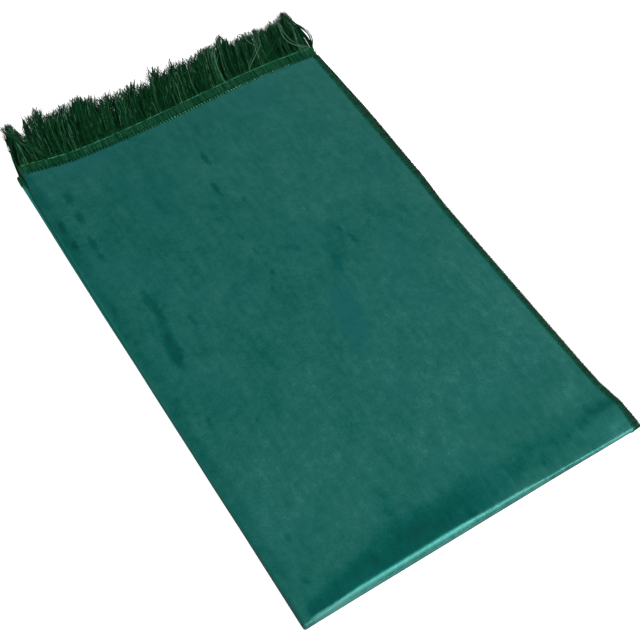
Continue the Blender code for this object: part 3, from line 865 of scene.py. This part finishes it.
fringe = {
    "yarnRadius": 0.44,
    "bundlePitch": 3.3,
    "bundleSway": 0.075,  # how far bundles and yarns lean out of line, as a slope
    "yarnSway": 0.055,
    "rimClump": 8.0,  # yarns rooted this near the left rim don't lean out of it
    "rootSpread": 0.6,
    "tuftMixing": 1.4,  # how far yarns stray over a tuft's borders
    "kinks": (0.1, 0.6),
    "kinkLengths": (18, 40),
    "finish": (0.45, 0.15, 1.3),
    "toneSpread": (0.05, 0.17),  # from bundle to bundle, from yarn to yarn
    "shortness": 6.2,  # how much shorter than the tuft's outline yarns are cut
    "tipCurl": 2.6,
    "wisps": (95, 125, 225, 245),  # rug x: where the tips grow thin and curly, and where they are full again
    # rug x of a tuft's tip, its y past the straight line of the headers' rims, its half width
    "tufts": (
        (9, 66, 4), (16, 67, 3.5), (29, 48, 3), (35, 72, 3), (42, 73, 3), (50, 78, 2.5), (58, 63, 3),
        (67, 66, 4), (76, 69, 3.5), (91, 71, 3.5), (99, 72, 3), (108, 67, 3.5), (120, 62, 3),
        (129, 66, 2.6), (136, 62, 2.2), (149, 64, 2.6), (156, 68, 2), (163, 63, 2), (170, 60, 1.8),
        (184, 78, 2.6), (191, 75, 1.8), (199, 68, 3), (207, 75, 2), (216, 72, 4), (226, 73, 4),
        (236, 74, 4), (244, 74, 3), (252, 77, 3), (262, 75, 3.5), (272, 86, 3.5), (280, 76, 3),
        (289, 70, 3.5), (296, 74, 2), (305, 75, 3.5), (316, 76, 4), (326, 74, 4), (337, 78, 4),
        (346, 81, 3), (353, 86, 3), (359, 86, 2),
    ),
    "gatherStart": 14.0,
    "gatherEnd": 58.0,
    # rug place across: sideways lean at 70 mm from the header
    "lean": (
        (0.0, 10.5), (0.03, 4), (0.06, 1), (0.1, 12), (0.18, 17), (0.35, 20), (0.55, 23), (0.76, 25),
        (0.9, 18), (1.0, 12),
    ),
    "leanReach": 70.0,
    "leanCurve": 1.25,
    "levelPitch": 2.35,
    "levelSink": 0.0145,
    # level, run, side, shift of the tufts, share of the reach, yarns, points of a yarn
    "levels": (
        (0, "bottom", 1, 0.8, 1.05, 1200, 7),
        (1, "bottom", -1, -0.8, 1.02, 1200, 7),
        (2, "top", -1, 0.6, 0.94, 1500, 7),
        (3, "top", 1, 0.0, 1.0, 2700, 10),
    ),
    # open places between tufts: rug x and y where they start, their slant, half width 20 mm further
    "gaps": (
        (24.5, 567, 0.1, 6.0), (38, 580, 0.0, 1.4), (85, 563, 0.0, 1.8), (114, 570, 0.15, 2.6),
        (141, 568, 0.1, 2.2), (148, 567, 0.15, 2.0), (158, 566, 0.2, 2.6), (170, 571, 0.5, 2.0),
        (178.5, 568, 0.65, 3.6), (204, 584, 0.3, 1.8), (297, 581, 0.05, 2.2), (350, 572, 0.0, 1.0),
    ),
    # yarns laid one by one: how many, how far they spread, tone, then rug x, y and height along them
    "strays": (
        (5, 2.2, 0.66, ((21, 527, 7), (20, 542, 9.5), (17, 560, 9.5), (11, 579, 7), (9, 588, 5))),
        (5, 2.6, 0.7, ((31, 527, 7), (27, 540, 10), (20, 556, 10), (15, 572, 8), (14, 587, 6))),
        (3, 1.6, 0.55, ((2, 525, 6), (3, 545, 7), (8, 562, 7), (12, 575, 6), (10, 585, 5))),
        (2, 1.0, 0.72, ((100, 545, 8), (101, 560, 10), (104, 571, 10), (109, 575, 9), (114, 570, 8))),
        (1, 1.0, 0.8, ((112, 540, 8), (114, 555, 10), (119, 566, 10), (126, 568, 9), (130, 562, 8))),
        (2, 1.8, 0.74, ((126, 542, 8), (131, 552, 10), (134, 563, 10), (140, 575, 8))),
        (3, 0.9, 0.45, ((172, 535, 7), (174, 560, 9), (179, 580, 8), (184, 596, 6))),
        (2, 0.6, 0.55, ((181, 560, 8), (186, 580, 7), (191, 597, 5))),
        (2, 0.5, 0.5, ((195, 560, 8), (202, 582, 7), (207, 600, 5))),
        (3, 1.0, 0.5, ((262, 560, 8), (267, 580, 8), (271, 594, 7), (273, 607, 5))),
        (2, 0.9, 0.92, ((298, 566, 9), (295, 572, 10), (293, 580, 9.5), (294, 590, 8), (291, 596, 7))),
        (2, 1.4, 0.8, ((272, 540, 8), (275, 545, 10), (289, 558, 10.5), (303, 572, 10), (308, 584, 8))),
        (4, 3.2, 0.58, ((284, 543, 8), (290, 547, 10.2), (304, 553, 10.8), (317, 564, 10.5),
            (328, 577, 9), (333, 588, 7))),
        (3, 1.8, 0.36, ((294, 542, 8), (305, 547, 10.2), (316, 557, 10.5), (324, 570, 9.5))),
        (4, 0.45, 0.86, ((340, 596, 8), (337, 583, 11), (334, 568, 11.6), (336, 553, 11.6),
            (343, 542, 10.5), (350, 538, 8))),
        (3, 0.4, 0.78, ((338, 592, 8), (334, 578, 11), (331, 566, 11.6), (332, 555, 11.6),
            (338, 546, 10.5), (345, 540, 8))),
        (18, 1.5, 0.36, ((349, 527, 4), (352, 540, 6), (354, 556, 7), (354, 573, 7), (352, 592, 6))),
        (10, 1.2, 0.3, ((350, 530, 3), (355, 543, 5), (357, 557, 6), (356, 574, 6), (353, 590, 5))),
        (9, 0.9, 0.52, ((351, 597, 6), (355, 584, 9), (357.5, 570, 10), (359, 557, 10), (356, 545, 9),
            (350, 536, 8), (344, 528, 8))),
        (3, 0.5, 0.72, ((349, 592, 8), (355, 580, 10), (359.5, 566, 10.6), (360.5, 556, 10.6),
            (357, 545, 9.5), (350, 536, 8), (344, 528, 8))),
        (12, 1.1, 0.34, ((2, 516, 2.2), (4.5, 527, 3), (8.5, 541, 4), (11.5, 556, 4))),
        (4, 2.4, 0.7, ((343, 532, 8), (344, 548, 10), (346, 566, 10.5), (349, 580, 9), (352, 597, 6))),
        (3, 1.6, 0.84, ((338, 536, 8), (341, 552, 10), (347, 570, 10.5), (350, 584, 9), (348, 600, 6))),
        (1, 0.3, 0.45, ((350, 529, 7), (356, 537, 8), (361, 531, 7))),
    ),
    "colours": (
        (0.0, (0.0, 0.006, 0.001)), (0.3, (0.0004, 0.024, 0.005)), (0.6, (0.0035, 0.062, 0.019)),
        (0.8, (0.03, 0.125, 0.062)), (1.0, (0.14, 0.31, 0.2)),
    ),
}


def makeYarns(level, run, side, shift, share, count, points):
    tufts = np.array(fringe["tufts"], float)
    tipX, tipY, half = tufts[:, 0] + shift, tufts[:, 1], tufts[:, 2]
    # roots stand in small bundles along the header's rim
    place = (np.arange(count) + 0.5) / count * (rugWidth - 3.0) + 1.0
    bundle = np.floor(place / fringe["bundlePitch"] + chance.random()).astype(int)
    bundles = bundle.max() + 1
    rootX = np.clip(place + jitter(fringe["rootSpread"], count), 1.0, rugWidth - 2.0)
    across = np.stack([rootX / rugWidth, np.full(count, 90.0 * side)], axis=1)
    rim = fold["gap"] + fold["headerWidth"] - 0.8
    root = headerPoints(run, across, [rim], 0.0)[:, 0]
    lean = readTable(fringe["lean"], rootX / rugWidth)
    plainTip = root[:, 0] - leftX + lean
    borders = (tipX[1:] + tipX[:-1]) / 2
    tuft = np.searchsorted(borders, plainTip + jitter(fringe["tuftMixing"], count))
    lowBorder = np.concatenate([[tipX[0] - 10], borders])[tuft]
    highBorder = np.concatenate([borders, [tipX[-1] + 8]])[tuft]
    aside = plainTip - tipX[tuft]
    spread = np.clip(aside / np.where(aside < 0, tipX[tuft] - lowBorder, highBorder - tipX[tuft]), -1.5, 1.5)
    gathered = tipX[tuft] + spread * half[tuft]
    start, thin, stillThin, full = fringe["wisps"]
    wisp = ease(start, thin, plainTip) * ease(full, stillThin, plainTip)
    short = 2.5 * spread ** 2 + chance.gamma(1.6, fringe["shortness"], count) * (1 + 1.3 * wisp)
    line = endLine("top", root[:, 0])
    reach = np.clip((tipY[tuft] - line) * share - short, 22, None)
    steps = np.linspace(0, 1, points) ** 0.9
    out = reach[:, None] * steps
    leaning = lean[:, None] * (out / fringe["leanReach"]) ** fringe["leanCurve"]
    pull = ease(fringe["gatherStart"], fringe["gatherEnd"], out)
    x = root[:, :1] + leaning + pull * (gathered - plainTip)[:, None]
    sway = jitter(fringe["bundleSway"], bundles)[bundle]
    sway = sway + jitter(fringe["yarnSway"], count)
    sway = np.where(rootX < fringe["rimClump"], np.abs(sway), sway)
    x = x + sway[:, None] * out * (1 - 0.75 * pull)
    phase = chance.uniform(0, 2 * math.pi, (count, 1))
    wave = chance.uniform(*fringe["kinkLengths"], (count, 1))
    kink = chance.uniform(*fringe["kinks"], (count, 1))
    x = x + ease(0, 25, out) * kink * np.sin(phase + 2 * math.pi * out / wave)
    curl = jitter(fringe["tipCurl"], count, 1) * (1 + 0.6 * wisp[:, None])
    x = x + ease(0.72, 1.0, steps) * curl
    y = root[:, 1:2] + out
    for gapX, gapY, slant, half in fringe["gaps"]:
        past = y - nearY - gapY
        aside = x - leftX - gapX - slant * past
        opening = half * ease(0, 20, past)
        x = x + np.where(np.abs(aside) < opening, np.sign(aside) * opening - 0.8 * aside, 0.0)
    low = level * (fringe["levelPitch"] - fringe["levelSink"] * np.minimum(out, 70.0))
    thick = np.interp(out, (0, 10, 40, 75), (1.5, 2.0, 2.6, 1.6))
    lift = chance.random((count, 1))
    radius = fringe["yarnRadius"]
    z = low + radius + 0.1 + lift * (thick - radius)
    z = z + 0.25 * np.sin(phase * 2 + 2 * math.pi * out / (0.7 * wave)) * ease(0, 20, out)
    z = np.maximum(z, radius + 0.15)
    radii = unevenRadii(radius, count, np.interp(steps, (0, 0.8, 1), (1, 0.95, 0.35)), 0.7, 1.25)
    paths = np.stack([x, y, z], axis=-1)
    bundleSpread, yarnSpread = fringe["toneSpread"]
    # lower yarns are painted darker, as painted shade deep in the fringe
    tone = 0.32 + 0.3 * (lift[:, 0] - 0.5) + jitter(bundleSpread, bundles)[bundle]
    tone = tone + jitter(yarnSpread, count)
    # a tenth of the yarns painted lighter, as painted highlights
    tone = tone + (chance.random(count) < 0.1) * chance.uniform(0.15, 0.45, count)
    # lighter tips, and painted shade at the roots
    tone = tone[:, None] + 0.16 * ease(0.5, 1.0, steps) - 0.1 * ease(0.3, 0.0, steps)
    return paths, radii, tone, out


def smoothPath(points, count):  # a smooth line through a few points
    points = np.array(points, float)
    knots = np.concatenate([[2 * points[0] - points[1]], points, [2 * points[-1] - points[-2]]])
    spot = np.linspace(0, len(points) - 1 - 1e-6, count)
    first, share = np.floor(spot).astype(int), (spot % 1)[:, None]
    before, start, finish, after = (knots[first + offset] for offset in range(4))
    bend = 2 * before - 5 * start + 4 * finish - after
    twist = 3 * start - before - 3 * finish + after
    return start + 0.5 * share * (finish - before + share * (bend + share * twist))


def makeStrays(points):
    paths, tones = [], []
    for count, spread, tone, places in fringe["strays"]:
        line = smoothPath(places, points)
        widening = np.linspace(0.5, 1.0, points)[:, None]
        for number in range(count):
            drift = jitter(1, 3) * (spread, spread, 0.5)
            sway = jitter(1, 3) * (spread, spread, 0.3) * 0.5
            share = np.linspace(0, 1, points)[:, None]
            phase = chance.uniform(0, 2 * math.pi)
            wobble = np.sin(phase + share * chance.uniform(6, 12)) * (0.35, 0.15, 0.2)
            paths.append(line + widening * drift + share * sway + wobble)
            tones.append(tone + chance.normal(0, 0.06))
    paths = np.array(paths) + (leftX, nearY, 0.0)
    radii = unevenRadii(fringe["yarnRadius"], len(paths), np.ones(points), 0.65, 1.05)
    radii[:, -1] *= 0.5
    out = np.linspace(0, 60, points) * np.ones((len(paths), 1))
    return paths, radii, np.array(tones)[:, None] * np.ones(points), out


def makeFringe(name, run, levels, node, chosen=None):
    parts = []
    for row in fringe["levels"]:
        if row[0] not in levels:
            continue
        paths, radii, tone, out = makeYarns(*row)
        if chosen == "right":
            parts.append(sweepStrands(*makeStrays(row[-1] + 6), 4))
        if chosen is not None:
            middle = np.median(paths[:, 0, 0])
            pick = paths[:, 0, 0] < middle if chosen == "left" else paths[:, 0, 0] >= middle
            paths, radii, tone, out = paths[pick], radii[pick], tone[pick], out[pick]
        parts.append(sweepStrands(paths, radii, tone, out))
    return makeTrim(name, parts, "fringeYarn", node)


setUpCamera()
setUpStudio()
velvet = makeVelvet()
threadFinish("overlockThread", edging["colours"], *edging["finish"])
threadFinish("headerThread", header["colours"], *header["finish"])
threadFinish("fringeYarn", fringe["colours"], *fringe["finish"])
trim = [
    makeEdging("outerEdging", 1, "edging_outer"),
    makeEdging("innerEdging", -1, "edging_inner"),
    makeHeader("topHeader", "top", "fringe_top_end"),
    makeHeader("bottomHeader", "bottom", "fringe_bottom_end"),
    makeFringe("topFringeLeft", "top", (3,), "fringe_top_end", "left"),
    makeFringe("topFringeRight", "top", (3,), "fringe_top_end", "right"),
    makeFringe("topFringeUnder", "top", (2,), "fringe_top_end"),
    makeFringe("bottomFringe", "bottom", (0, 1), "fringe_bottom_end"),
]
